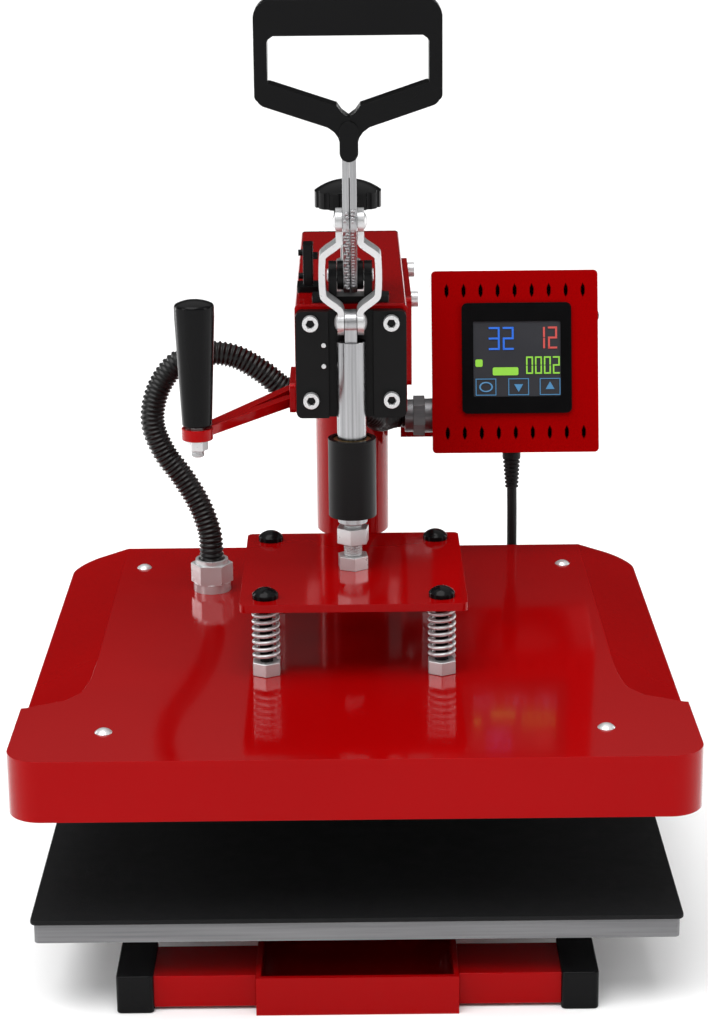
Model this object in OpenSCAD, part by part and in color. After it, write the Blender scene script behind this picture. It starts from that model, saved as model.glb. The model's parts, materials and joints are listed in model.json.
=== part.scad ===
// Swing-away heat press with a flat platen.
// Frame: +X to the user's right, +Y to the back, +Z up.
// Origin: on the floor, under the middle of the platen. The plunger's axis is the Z axis.

/* [Platens] */
// Side of the square heating platen and of the silicone pad
platen_side = 380; // [380:1:390]
// Height of the pad's top above the floor
pad_top_z = 62; // [60:1:66]
// Thickness of the silicone pad
pad_t = 3; // [2:0.5:4]
// Thickness of the lower platen's plate
lower_plate_t = 12; // [10:1:14]

/* [Head] */
// Width of the head cover
cover_w = 398; // [396:1:400]
// Depth of the head cover
cover_d = 405; // [402:1:406]
// Height of the cover's top above the floor, with the press open
cover_top_z = 166; // [166:1:168]
// Height of the cover's rim above the floor, with the press open
cover_rim_z = 129; // [128:1:131]
// Thickness of the cover's sheet
cover_t = 2; // [1.5:0.5:2.5]
// How far the platen comes down
press_travel = 63; // [60:1:63]

/* [Spring plate] */
// Width of the spring plate
spring_plate_w = 139; // [136:1:142]
// Depth of the spring plate
spring_plate_d = 149; // [146:1:152]
// Half the spacing of the plate's bolts across the press
bolt_x = 54; // [52:1:55]
// Half the spacing of the plate's bolts from front to back
bolt_y = 60; // [58:1:61]

/* [Plunger and lever] */
// Diameter of the plunger tube
tube_dia = 18.3; // [18:0.1:18.6]
// Outer width of the D-shaped handle
handle_w = 112; // [108:1:116]

/* [Arm and column] */
// Side of the arm's box beam, across
arm_w = 70; // [70:1:72]
// Height of the arm's top above the floor
arm_top_z = 382; // [381:1:383]
// Diameter of the column
column_dia = 38.5; // [38:0.1:39]
// Distance of the column behind the platen's middle
column_y = 236; // [234:1:238]

/* [Control box] */
// Width of the control box
box_w = 116.6; // [114:0.1:118]
// Height of the control box's front
box_h = 127.6; // [126:0.1:130]
// Depth of the control box
box_d = 52; // [50:1:54]
// Angle that the box leans back
box_tilt = 15; // [14:1:16]

/* [Base] */
// Width of the centre channel
channel_w = 119; // [117:1:121]
// Height of the feet
foot_h = 24; // [24:1:26]
// Overall width of the feet
feet_w = 283.5; // [280:0.5:286]

/* [Hidden] */
$fn = 64;
// Running clearance on the radius of a pin or shaft in its bore
run_gap = 0.05;
// Clearance between moving faces that don't bear on each other
free_gap = 0.3;

// Base
channel_t = 3;
channel_y0 = -190;
channel_y1 = 276;
cap_l = 22;
cap_d = 48;
foot_y = [-186 + cap_d / 2, 250];
tube_stub_d = 40;
tube_stub_h = 20;

// Platens
plate_z0 = pad_top_z - pad_t - lower_plate_t;
heat_z0 = pad_top_z + press_travel + free_gap;
heat_t = 18;

// Column and sleeve
sleeve_dia = 52;
sleeve_bore = 44;
sleeve_z0 = 170;
column_z0 = 9;
column_z1 = 354;

// Arm
arm_h = 71;
arm_z0 = arm_top_z - arm_h;
arm_y0 = 14;
arm_y1 = 268;
arm_t = 3;

// Guide on the arm's front
guide_y0 = 6;
guide_z0 = arm_z0;
guide_z1 = arm_top_z - 3;
channel_half = 14;
guide_housing_z = [250, 300];
guide_housing_r = 15;
guide_bush_r = 12;
screw_x = 25.1;
screw_z = [323, 372];

// Lever linkage, open
fulcrum = [16, 400];
lever_pin = [-8, 438];
tongue_pin = [0, 373.5];
link_tilt = atan2(tongue_pin[0] - lever_pin[0], lever_pin[1] - tongue_pin[1]);
link_len = norm(lever_pin - tongue_pin);
pin_r = 4;
strip_t = 4.2;
strip_gap = 0.3;
strip_outer = strip_t + strip_gap / 2;
hub_half = 8.2;
tongue_t = 7.7;

// Plunger
tube_z = [245, 362];
stud_r = 5.8;
spring_plate_z = [210, 215];
head_bolt_r = 4;

// Control box, in its own frame: X across, Y into the box, Z up its front
box_x0 = 56.5;
box_y = 185;
box_z = 239;
box_wall = 2;
bezel_x = [77.5, 154.3];
bezel_z = [27.5, 105];
box_gland = [18, 27];
relief_x = 114;
relief_depth = 37;
relief_l = 25;

// Swing grip
grip_x = -93;
grip_y = -55;
grip_z = 323;
bracket_z = [314.6, 321.6];

// Knob
knob_x = -1;
knob_y = 47;

// Hose, from the gland on the head, round the left of the arm and under it, to the control box
hose_dia = 16.5;
hose_points = [
    [-96, 108, 188.7], [-96, 108, 196], [-97.5, 110, 208], [-104, 114, 225], [-115, 118, 243],
    [-127, 120, 260],
    [-134, 121, 280], [-130, 122, 302], [-117, 122, 320], [-98, 122, 327], [-78, 121, 325],
    [-60, 120, 315], [-44, 121, 302], [-20, 126, 293], [0, 134, 286], [14, 150, 276],
    [17, 172, 268], [21, 192, 262], [29, 206, 260.6], [37.4, 209.4, 260.4]
];

// Power cord, from the strain relief to the start of its coil
cord_dia = 7;
cord_points = [
    [114, 214.2, 205.2], [114, 211.8, 196], [114, 210.2, 186], [114, 209.5, 170], [114, 209.3, 150],
    [114, 209.5, 125], [114, 210, 100], [115, 212, 80], [119, 217, 62], [127, 227, 47],
    [138, 243, 36], [151, 263, 26], [163, 286, 15], [171, 310, 7], [176, 334, 3.8],
    [178, 358, 3.5], [178, 380, 3.5]
];
coil_r = 37;
coil_turns = 4.25;
coil_centre = [178 - coil_r, 380];
coil_h = (coil_turns + 1) * cord_dia;
// The coil ends at its top, where it heads to the left, and the tail drops to the plug
tail_points = [
    [141, 417, 33.25], [130, 417, 32.8], [116, 417.5, 29], [100, 418, 22.5], [84, 418.5, 16],
    [68, 419, 12], [56, 419, 11]
];

// ---- shared shapes ----

// Cylinder along X from x0 to x1, centred on y, z
module rod_x(r, x0, x1, y, z) {
    translate([x0, y, z]) rotate([0, 90, 0]) cylinder(r = r, h = x1 - x0);
}

// Cylinder along Y from y0 to y1
module rod_y(r, x, y0, y1, z) {
    translate([x, y0, z]) rotate([-90, 0, 0]) cylinder(r = r, h = y1 - y0);
}

// Outline in the Y-Z plane, given thickness from x0 to x1
module plate_x(x0, x1) {
    translate([x0, 0, 0]) rotate([90, 0, 90]) linear_extrude(x1 - x0) children();
}

// Outline in the X-Z plane, given thickness from y0 to y1
module plate_y(y0, y1) {
    translate([0, y1, 0]) rotate([90, 0, 0]) linear_extrude(y1 - y0) children();
}

// Flat bar with round ends, from p to q
module bar(p, q, r) {
    d = q - p;
    translate(p) circle(r);
    translate(q) circle(r);
    translate(p) rotate(atan2(d[1], d[0])) translate([0, -r]) square([norm(d), 2 * r]);
}

// Rectangle with rounded corners
module rounded(x0, y0, x1, y1, r) {
    translate([x0 + r, y0]) square([x1 - x0 - 2 * r, y1 - y0]);
    translate([x0, y0 + r]) square([x1 - x0, y1 - y0 - 2 * r]);
    for (x = [x0 + r, x1 - r], y = [y0 + r, y1 - r]) translate([x, y]) circle(r);
}

// Block with rounded upright edges
module block(x0, y0, z0, x1, y1, z1, r) {
    translate([0, 0, z0]) linear_extrude(z1 - z0) rounded(x0, y0, x1, y1, r);
}

// Hexagonal prism, flat to flat across_flats, along Z
module hexagon(across_flats, h) {
    cylinder(r = across_flats / sqrt(3), h = h, $fn = 6);
}

// Domed head of a screw, along Z
module dome(r, h) {
    ball = (r * r + h * h) / (2 * h);
    intersection() {
        translate([0, 0, h - ball]) sphere(ball);
        cylinder(r = r + 1, h = h + 1);
    }
}

// The four places of a bolt pattern
module at_four(x, y) {
    for (sx = [-1, 1], sy = [-1, 1]) translate([sx * x, sy * y, 0]) children();
}

// The control box's own frame
module in_box() {
    translate([0, box_y, box_z]) rotate([-box_tilt, 0, 0]) children();
}

// Points along a smooth curve through p, with n steps from each point to the next
function curve_at(p, i, t) =
    let (a = p[max(i - 1, 0)], b = p[i], c = p[i + 1], d = p[min(i + 2, len(p) - 1)])
    0.5 * (2 * b + (c - a) * t + (2 * a - 5 * b + 4 * c - d) * t * t
        + (3 * b - a - 3 * c + d) * t * t * t);
function curve(p, n) = [
    for (i = [0:len(p) - 2], s = [0:n - 1]) curve_at(p, i, s / n), p[len(p) - 1]
];
function unit(v) = v / norm(v);

// Tube along p, with its rings square to the path; side is never along the path
module sweep(p, r, sides, side) {
    n = len(p);
    rings = [for (i = [0:n - 1])
        let (t = unit(p[min(i + 1, n - 1)] - p[max(i - 1, 0)]),
            u = unit(cross(t, side)), v = cross(t, u))
        for (k = [0:sides - 1])
            p[i] + r * (cos(360 * k / sides) * u + sin(360 * k / sides) * v)];
    walls = [for (i = [0:n - 2], k = [0:sides - 1])
        let (a = i * sides + k, b = i * sides + (k + 1) % sides)
        [a, a + sides, b + sides, b]];
    polyhedron(rings, concat([[for (k = [0:sides - 1]) k]], walls,
        [[for (k = [0:sides - 1]) n * sides - 1 - k]]), convexity = 8);
}

// ---- base ----

module base_channel() color("firebrick") {
    w = channel_w / 2;
    difference() {
        translate([-w, channel_y0, 0]) cube([channel_w, channel_y1 - channel_y0, foot_h]);
        translate([-w + channel_t, channel_y0 + channel_t, channel_t])
            cube([channel_w - 2 * channel_t, channel_y1 - channel_y0 - 2 * channel_t, foot_h]);
    }
    // Foot plate under the column
    block(-45, column_y - 32, channel_t, 45, column_y + 32, column_z0, 6);
}

module foot_tubes() color("firebrick") {
    for (s = [-1, 1], y = foot_y) translate([s * (channel_w / 2 + feet_w / 2 - 4) / 2, y, foot_h / 2])
        difference() {
            l = feet_w / 2 - 4 - channel_w / 2;
            cube([l, tube_stub_d, tube_stub_h], center = true);
            cube([l + 1, tube_stub_d - 4, tube_stub_h - 4], center = true);
        }
}

module foot_end_caps() color("#1a1a1a") {
    for (s = [0, 1], y = foot_y) mirror([s, 0, 0]) translate([feet_w / 2 - cap_l, y, 0])
        difference() {
            block(0, -cap_d / 2, 0, cap_l, cap_d / 2, foot_h, 3);
            translate([-1, -tube_stub_d / 2, (foot_h - tube_stub_h) / 2])
                cube([cap_l - 3, tube_stub_d, tube_stub_h]);
        }
}

module platen_pedestal() color("firebrick") {
    z1 = plate_z0;
    difference() {
        union() {
            block(-40, -40, channel_t, 40, 40, z1 - 6, 4);
            block(-80, -80, z1 - 6, 80, 80, z1, 6);
        }
        translate([-37, -37, channel_t - 1]) cube([74, 74, z1 - 5 - channel_t]);
        at_four(60, 60) translate([0, 0, z1 - 7]) cylinder(r = 4.2, h = 8);
    }
}

module pedestal_bolts() color("silver") {
    at_four(60, 60) {
        translate([0, 0, plate_z0 - 11.5]) hexagon(13, 5.5);
        translate([0, 0, plate_z0 - 6]) cylinder(r = 4, h = 14);
    }
}

module lower_platen() color("#8d9093") {
    w = platen_side / 2 - 2;
    difference() {
        block(-w, -w, plate_z0, w, w, plate_z0 + lower_plate_t, 3);
        at_four(60, 60) translate([0, 0, plate_z0 - 1]) cylinder(r = 4, h = 9);
    }
}

module silicone_pad() color("#1b1b1c") {
    w = platen_side / 2;
    block(-w, -w, pad_top_z - pad_t, w, w, pad_top_z, 4);
}

module column() color("silver") {
    translate([0, column_y, column_z0]) difference() {
        cylinder(d = column_dia, h = column_z1 - column_z0);
        translate([0, 0, -1]) cylinder(d = column_dia - 8, h = column_z1 - column_z0 - 9);
    }
}

module thrust_disc() color("goldenrod") {
    translate([0, column_y, column_z1]) cylinder(d = column_dia - 1, h = 5.8);
}

// ---- arm ----

module arm_beam() color("firebrick") {
    w = arm_w / 2;
    difference() {
        plate_y(arm_y0, arm_y1) rounded(-w, arm_z0, w, arm_top_z, 3);
        translate([-w + arm_t, arm_y0 + 9, arm_z0 + arm_t])
            cube([arm_w - 2 * arm_t, arm_y1 - arm_y0, arm_h - 2 * arm_t]);
        // Window in the front plate, and the tapped holes round it
        translate([-16, arm_y0 - 1, arm_z0 + 16]) cube([32, 11, arm_h - 32]);
        for (x = [-screw_x, screw_x], z = screw_z) rod_y(3, x, arm_y0 - 1, arm_y0 + 10, z);
        // Sleeve through the floor of the beam
        translate([0, column_y, arm_z0 - 1]) cylinder(d = sleeve_dia, h = arm_t + 2);
        translate([knob_x, knob_y, arm_top_z - arm_t - 1]) cylinder(r = 5.1, h = arm_t + 2);
    }
}

module swivel_sleeve() color("firebrick") {
    top = 368;
    translate([0, column_y, 0]) difference() {
        translate([0, 0, sleeve_z0]) cylinder(d = sleeve_dia, h = top - sleeve_z0);
        translate([0, 0, sleeve_z0 - 1]) cylinder(d = sleeve_bore, h = 361 - sleeve_z0);
    }
}

module sleeve_bushes() color("goldenrod") {
    for (z = [sleeve_z0 + 4, 320]) translate([0, column_y, z]) difference() {
        cylinder(d = sleeve_bore, h = 24);
        translate([0, 0, -1]) cylinder(r = column_dia / 2 + run_gap, h = 26);
    }
}

module arm_rear_cap() color("#1a1a1a") {
    w = arm_w / 2;
    plate_y(arm_y1, arm_y1 + 3) rounded(-w, arm_z0, w, arm_top_z, 3);
    plate_y(arm_y1 - 5, arm_y1)
        rounded(-w + arm_t, arm_z0 + arm_t, w - arm_t, arm_top_z - arm_t, 0.5);
}

module guide_bracket() color("#161616") {
    w = arm_w / 2 - 0.5;
    difference() {
        union() {
            plate_y(guide_y0, arm_y0) rounded(-w, guide_z0, w, guide_z1, 4);
            // Web down to the housing, under the beam
            translate([-9, 10, guide_housing_z[0] + 3]) cube([18, 4, 62]);
            translate([-9, 10, guide_housing_z[0] + 3]) cube([18, 22, guide_z0 - guide_housing_z[0] - 3]);
            translate([0, 0, guide_housing_z[0]])
                cylinder(r = guide_housing_r, h = guide_housing_z[1] - guide_housing_z[0]);
        }
        // Recess that the tube and the link eyes run in
        translate([-channel_half, guide_y0 - 1, guide_z0 - 1]) cube([2 * channel_half, 5, 80]);
        translate([0, 0, guide_housing_z[0] + 49]) cylinder(r = tube_dia / 2 + 0.6, h = 90);
        translate([0, 0, guide_housing_z[0] - 1]) cylinder(r = guide_bush_r, h = 51);
        for (x = [-screw_x, screw_x], z = screw_z) rod_y(3.3, x, guide_y0 - 1, arm_y0 + 1, z);
        for (z = [344.4, 357.7]) rod_y(1.5, -17, guide_y0 - 1, arm_y0 + 1, z);
    }
}

module guide_bush() color("goldenrod") {
    translate([0, 0, guide_housing_z[0] + 1]) difference() {
        cylinder(r = guide_bush_r, h = 48);
        translate([0, 0, -1]) cylinder(r = tube_dia / 2 + run_gap, h = 50);
    }
}

module guide_screws() color("silver") {
    for (x = [-screw_x, screw_x], z = screw_z) difference() {
        union() {
            rod_y(5, x, guide_y0 - 5, guide_y0, z);
            rod_y(3, x, guide_y0, arm_y0 + 8, z);
        }
        translate([x, guide_y0 - 6, z]) rotate([-90, 0, 0]) hexagon(5, 4);
    }
    for (z = [344.4, 357.7]) rod_y(1.5, -17, guide_y0 - 1, guide_y0 + 6, z);
}

module fulcrum_bracket() color("#161616") {
    x1 = 13.5;
    x0 = hub_half + free_gap;
    difference() {
        union() {
            for (s = [0, 1]) mirror([s, 0, 0]) plate_x(x0, x1) {
                translate(fulcrum) circle(9);
                polygon([[7.2, 399], [7.2, 385], [14, arm_top_z], [34, arm_top_z], [24.9, 401]]);
            }
            block(-24, arm_y0 + 4, arm_top_z, 24, 34, arm_top_z + 4, 1.5);
        }
        rod_x(pin_r, -20, 20, fulcrum[0], fulcrum[1]);
    }
}

module fulcrum_pin() color("silver") {
    rod_x(pin_r, -14.5, 14.5, fulcrum[0], fulcrum[1]);
}

module limit_switch() color("#161616") {
    block(-30, 52, arm_top_z + 4, -23.5, 68, 412, 1);
    block(-34, 50, arm_top_z, -19, 70, arm_top_z + 4, 2);
    for (z = [391, 406]) rod_x(2, -33, -30, 60, z);
    translate([-23.5, 58, 402]) cube([3, 4, 4]);
}

module knob_collar() color("silver") {
    translate([knob_x, knob_y, arm_top_z]) difference() {
        union() {
            hexagon(17, 8);
            cylinder(r = 7.5, h = 22);
        }
        translate([0, 0, -1]) cylinder(r = 5 + run_gap, h = 24);
    }
}

module pressure_screw() color("silver") {
    translate([knob_x, knob_y, 345]) cylinder(r = 5, h = 90);
}

module pressure_knob() color("#161616") {
    lobes = 14;
    translate([knob_x, knob_y, 0]) difference() {
        union() {
            translate([0, 0, 425]) cylinder(r = 9, h = 14);
            translate([0, 0, 438]) cylinder(r = 21, h = 10);
            translate([0, 0, 448]) dome(21, 7);
        }
        translate([0, 0, 424]) cylinder(r = 5, h = 11);
        for (i = [0:lobes - 1]) rotate(i * 360 / lobes) translate([22.4, 0, 436])
            cylinder(r = 2.6, h = 14);
    }
}

// ---- control box ----

module side_bracket() color("firebrick") {
    x0 = arm_w / 2;
    difference() {
        union() {
            plate_x(x0, x0 + 4) rounded(60, 318, 200, 376, 4);
            plate_x(x0, x0 + 4) polygon([[196, 318], [196, 374], [262, 330], [262, 232], [236, 238]]);
            in_box() block(x0, box_d + box_wall, 12, 100, box_d + box_wall + 4, 34, 1);
        }
        for (y = [90, 190]) rod_x(3.2, x0 - 1, x0 + 5, y, 369);
    }
}

module side_bracket_bolts() color("silver") {
    x0 = arm_w / 2;
    for (y = [90, 190]) {
        rod_x(5, x0 + 4, x0 + 9, y, 369);
        rod_x(3.2, x0, x0 + 4, y, 369);
    }
}

module control_box_shell() color("firebrick") in_box() {
    x1 = box_x0 + box_w;
    difference() {
        plate_y(0, box_d) rounded(box_x0, 0, x1, box_h, 3);
        translate([box_x0 + box_wall, box_wall, box_wall])
            cube([box_w - 2 * box_wall, box_d, box_h - 2 * box_wall]);
        // Window for the display
        translate([bezel_x[0] + 3, -1, bezel_z[0] + 3])
            cube([bezel_x[1] - bezel_x[0] - 6, 4, bezel_z[1] - bezel_z[0] - 6]);
        // Vents
        for (i = [0:8], z = [14, 113.6]) translate([67.2 + i * 11.93, 3, z])
            rotate([90, 0, 0]) linear_extrude(4)
                polygon([[0, -5], [1.4, -2], [1.4, 2], [0, 5], [-1.4, 2], [-1.4, -2]]);
        rod_x(6, box_x0 - 1, box_x0 + 3, box_gland[0], box_gland[1]);
        translate([relief_x, relief_depth, -1]) cylinder(r = 5, h = 4);
        translate([x1 - 3, 16, 89.5]) cube([4, 20, 14]);
    }
}

module control_box_back() color("firebrick") in_box() {
    plate_y(box_d, box_d + box_wall) rounded(box_x0, 0, box_x0 + box_w, box_h, 3);
}

module display_bezel() color("#0d0d0e") in_box() {
    difference() {
        plate_y(-2, 0) rounded(bezel_x[0], bezel_z[0], bezel_x[1], bezel_z[1], 4);
        plate_y(-3, 1) rounded(85.5, 39.3, 146.7, 92, 1);
    }
}

module display_screen() color("#3a3d42") in_box() {
    plate_y(-1.2, 0) rounded(85.5, 39.3, 146.7, 92, 1);
    translate([82, 0, 36]) cube([68, 8, 60]);
}

module circuit_board() color("darkgreen") in_box() {
    translate([67, 12, 20]) cube([97, 1.6, 90]);
    translate([70, 13.6, 70]) cube([28, 14, 24]);
    translate([110, 13.6, 50]) cube([20, 5, 20]);
}

module power_relay() color("#d8d8d4") in_box() {
    translate([80, box_d - 24, 44]) cube([58, 24, 45]);
}

module box_gland() color("#55585c") in_box() {
    y = box_gland[0];
    z = box_gland[1];
    difference() {
        union() {
            rod_x(6, box_x0, box_x0 + 8, y, z);
            translate([box_x0 - 13, y, z]) rotate([0, 90, 0]) hexagon(24.6, 8);
            rod_x(12, box_x0 - 5, box_x0, y, z);
            rod_x(11.5, box_x0 - 19, box_x0 - 13, y, z);
        }
        rod_x(4, box_x0 - 20, box_x0 + 9, y, z);
    }
}

module cord_relief() color("#161616") in_box() {
    translate([relief_x, relief_depth, 0]) {
        rotate([180, 0, 0]) cylinder(r1 = 6.5, r2 = 4.6, h = relief_l);
        cylinder(r = 5, h = 8);
    }
}

module power_switch() color("#161616") in_box() {
    x1 = box_x0 + box_w;
    intersection() {
        rod_y(8.4, x1 - 6, 17, 35, 96.5);
        translate([x1 - 5, 16, 91]) cube([9, 20, 11]);
    }
}

// ---- cord and hose ----

module hose() color("#161616") sweep(curve(hose_points, 3), hose_dia / 2, 12, [0, 1, 0.2]);

module power_cord() color("#161616") {
    sweep(curve(cord_points, 2), cord_dia / 2, 10, [1, -1, 0]);
    sweep(curve(tail_points, 3), cord_dia / 2, 10, [0, 1, 0]);
}

module cord_coil() color("#161616") {
    translate([coil_centre[0], coil_centre[1], 0]) difference() {
        cylinder(r = coil_r + cord_dia / 2, h = coil_h);
        translate([0, 0, -1]) cylinder(r = coil_r - cord_dia / 2, h = coil_h + 2);
    }
}

module power_plug() color("#161616") {
    translate(tail_points[len(tail_points) - 1]) rotate([0, -90, 0]) {
        cylinder(r = 6, h = 8);
        translate([0, 0, 8]) cylinder(r = 11, h = 34);
        for (s = [-1, 1]) translate([0, 6.5 * s, 42]) cylinder(r = 2, h = 18);
    }
}

// ---- swing grip ----

module swing_bracket() color("firebrick") {
    x0 = -arm_w / 2;
    difference() {
        union() {
            translate([0, 0, bracket_z[0] + 0.5]) linear_extrude(6) {
                bar([grip_x, grip_y], [x0 - 4, 24], 3.5);
                bar([grip_x, grip_y], [x0 - 4, 50], 3.5);
            }
            translate([grip_x, grip_y, bracket_z[0]]) cylinder(r = 9.5, h = 7);
            plate_x(x0 - 4, x0) rounded(15, arm_z0 + 1, 66, arm_z0 + 20, 3);
        }
        translate([grip_x, grip_y, bracket_z[0] - 1]) cylinder(r = 4, h = 10);
    }
}

module grip_stud() color("silver") {
    translate([grip_x, grip_y, bracket_z[0]]) {
        translate([0, 0, -11]) cylinder(r = 3.3, h = 12);
        translate([0, 0, -6.5]) hexagon(11, 6.5);
        cylinder(r = 4, h = 48);
    }
}

module swing_grip() color("#161616") {
    translate([grip_x, grip_y, grip_z]) difference() {
        union() {
            cylinder(r1 = 9, r2 = 12, h = 66);
            translate([0, 0, 66]) cylinder(r = 12, h = 8);
            translate([0, 0, 74]) dome(12, 3);
        }
        translate([0, 0, -1]) cylinder(r = 4, h = 42);
    }
}

// ---- lever and linkage ----

module lever_bars() color("silver") {
    for (s = [0, 1]) mirror([s, 0, 0]) difference() {
        plate_x(strip_gap / 2, strip_outer) {
            bar(fulcrum, lever_pin, 11);
            bar(lever_pin, [lever_pin[0], 482], 10);
        }
        rod_x(9, -20, 20, fulcrum[0], fulcrum[1]);
    }
}

module lever_hub() color("#161616") {
    difference() {
        rod_x(9, -hub_half, hub_half, fulcrum[0], fulcrum[1]);
        rod_x(pin_r + run_gap, -20, 20, fulcrum[0], fulcrum[1]);
    }
}

module handle_grip() color("#141414") {
    side_x = handle_w / 2 - 4;
    y = lever_pin[0];
    difference() {
        union() {
            plate_y(y - 10, y + 10) {
                bar([-side_x + 6.5, 560.5], [side_x - 6.5, 560.5], 10.5);
                for (s = [-1, 1]) {
                    bar([s * side_x, 559], [s * side_x, 515], 4);
                    bar([s * (side_x - 4), 515], [0, 499], 7);
                    // Fillets in the window's top corners and beside the neck
                    polygon([[s * (side_x - 3), 551], [s * (side_x - 3), 545], [s * (side_x - 5), 548.2],
                        [s * (side_x - 9), 551]]);
                    polygon([[s * 5.2, 486], [s * 6.4, 489.8], [s * 8.6, 492.9], [s * 13, 496.2],
                        [s * 5.2, 497]]);
                }
            }
            // Neck that holds the ends of the bars
            plate_y(y - 12.5, y + 12.5) bar([0, 481], [0, 494], 5.6);
        }
        // Dip in the middle of the window's lower edge
        plate_y(y - 13, y + 13) polygon([[0, 501.5], [4, 504.5], [8, 510], [-8, 510], [-4, 504.5]]);
        for (s = [0, 1]) mirror([s, 0, 0]) plate_x(strip_gap / 2, strip_outer)
            bar(lever_pin, [y, 482], 10);
    }
}

module plunger_tube() color("silver") {
    difference() {
        translate([0, 0, tube_z[0]]) cylinder(d = tube_dia, h = tube_z[1] - tube_z[0]);
        translate([0, 0, tube_z[0] - 1]) cylinder(r = stud_r, h = 31);
        translate([-tongue_t / 2, -7, tube_z[1] - 24]) cube([tongue_t, 14, 25]);
    }
}

module plunger_tongue() color("silver") {
    difference() {
        plate_x(-tongue_t / 2, tongue_t / 2) {
            translate(tongue_pin) circle(8);
            translate([-7, tube_z[1] - 24]) square([14, tongue_pin[1] - tube_z[1] + 24]);
        }
        rod_x(pin_r + run_gap, -20, 20, tongue_pin[0], tongue_pin[1]);
    }
}

module adjusting_stud() color("silver") {
    translate([0, 0, 205]) cylinder(r = stud_r, h = 68);
    translate([0, 0, 204]) cylinder(r = 11, h = spring_plate_z[0] - 204);
}

module stud_nuts() color("silver") {
    for (n = [[spring_plate_z[1], 17.8, 8.5, 36], [232, 18.6, 10, 22]]) translate([0, 0, n[0]]) difference() {
        rotate(n[3]) hexagon(n[1], n[2]);
        translate([0, 0, -1]) cylinder(r = stud_r, h = n[2] + 2);
    }
}

module spring_plate() color("firebrick") {
    w = spring_plate_w / 2;
    d = spring_plate_d / 2;
    difference() {
        block(-w, -d, spring_plate_z[0], w, d, spring_plate_z[1], 4);
        translate([0, 0, spring_plate_z[0] - 1]) cylinder(r = stud_r, h = 8);
        at_four(bolt_x, bolt_y) translate([0, 0, spring_plate_z[0] - 1])
            cylinder(r = head_bolt_r + 0.4, h = 8);
    }
}

module pressure_springs() color("silver") {
    at_four(bolt_x, bolt_y) translate([0, 0, 174.9]) difference() {
        cylinder(r = 8.75, h = spring_plate_z[0] - 174.9);
        translate([0, 0, -1]) cylinder(r = 6.25, h = 40);
    }
}

// One strap runs round the hub on the right, and the other mirrors it on the left
module link_straps() color("gainsboro") {
    t = 4;
    a = tongue_t / 2 + free_gap + t / 2;
    b = 17;
    c = strip_outer + free_gap + t / 2;
    mid = curve([
        [a, -8], [a, 4], [a + 0.5, 9.5], [b - 1.5, 16.8], [b, 21], [b + 0.4, 31], [b, 41.5],
        [b - 1.2, 45], [c + 0.6, 51.5], [c, 56], [c, link_len + 8]
    ], 3);
    n = len(mid);
    side = [for (i = [0:n - 1])
        let (d = unit(mid[min(i + 1, n - 1)] - mid[max(i - 1, 0)])) [d[1], -d[0]] * t / 2];
    translate([0, tongue_pin[0], tongue_pin[1]]) rotate([link_tilt, 0, 0])
        for (s = [0, 1]) mirror([s, 0, 0]) difference() {
            intersection() {
                plate_y(-8, 8) polygon(concat([for (i = [0:n - 1]) mid[i] + side[i]],
                    [for (i = [n - 1:-1:0]) mid[i] - side[i]]));
                plate_x(0, 20) {
                    translate([0, 0]) circle(8);
                    translate([0, link_len]) circle(8);
                    translate([-6, 0]) square([12, link_len]);
                }
            }
            rod_x(pin_r, 0, 20, 0, 0);
            rod_x(pin_r, 0, 20, 0, link_len);
        }
}

module link_bolts() color("silver") {
    inner = tongue_t / 2 + free_gap + 4;
    outer = strip_outer + free_gap;
    translate([0, tongue_pin[0], tongue_pin[1]]) rotate([link_tilt, 0, 0]) {
        rod_x(pin_r, -inner, inner, 0, 0);
        for (s = [0, 1]) mirror([s, 0, 0]) {
            translate([inner, 0, 0]) rotate([0, 90, 0]) dome(5.4, 2);
            rod_x(pin_r, outer, outer + 4, 0, link_len);
            translate([outer + 4, 0, link_len]) rotate([0, 90, 0]) dome(5.4, 2);
        }
    }
}

// ---- head ----

module head_bolts() color("#161616") {
    at_four(bolt_x, bolt_y) {
        translate([0, 0, heat_z0 + 8]) cylinder(r = head_bolt_r, h = 215.1 - heat_z0 - 8);
        translate([0, 0, 215.1]) hexagon(11, 4);
    }
}

module bolt_caps() color("#161616") {
    at_four(bolt_x, bolt_y) translate([0, 0, 215.1]) difference() {
        union() {
            cylinder(r = 8, h = 2.6);
            translate([0, 0, 2.6]) dome(8, 4);
        }
        translate([0, 0, -1]) hexagon(11, 5);
    }
}

module spring_nuts() color("silver") {
    at_four(bolt_x, bolt_y) translate([0, 0, cover_top_z]) difference() {
        rotate(30) hexagon(16.6, 8.6);
        translate([0, 0, -1]) cylinder(r = head_bolt_r, h = 12);
    }
}

// Outer form of the cover, drawn in by i, with its two sloping side facets
module cover_form(i) {
    w = cover_w / 2 - i;
    d = cover_d / 2 - i;
    difference() {
        block(-w, -d, cover_rim_z - (i > 0 ? 1 : 0), w, d, cover_top_z - i, 20 - i);
        for (s = [0, 1]) mirror([s, 0, 0]) intersection() {
            translate([161 - i, 0, cover_top_z - i]) rotate([0, 17.5, 0])
                translate([0, -150, 0]) cube([60, 400, 30]);
            translate([0, 0, cover_rim_z]) linear_extrude(60) polygon([
                [150, 210], [150, -35 - i], [161 - i, -35 - i], [162 - i, -66 - i], [165 - i, -90 - i],
                [174 - i, -104 - i], [196 - i, -116 - i], [215, -120 - i], [215, 210]
            ]);
        }
    }
}

module head_cover() color("firebrick") {
    difference() {
        cover_form(0);
        cover_form(cover_t);
        at_four(bolt_x, bolt_y) translate([0, 0, 160]) cylinder(r = head_bolt_r, h = 10);
        at_four(146, 157) translate([0, 0, 160]) cylinder(r = 2.6, h = 10);
        translate([-96, 108, 160]) cylinder(r = 9, h = 10);
    }
}

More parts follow.
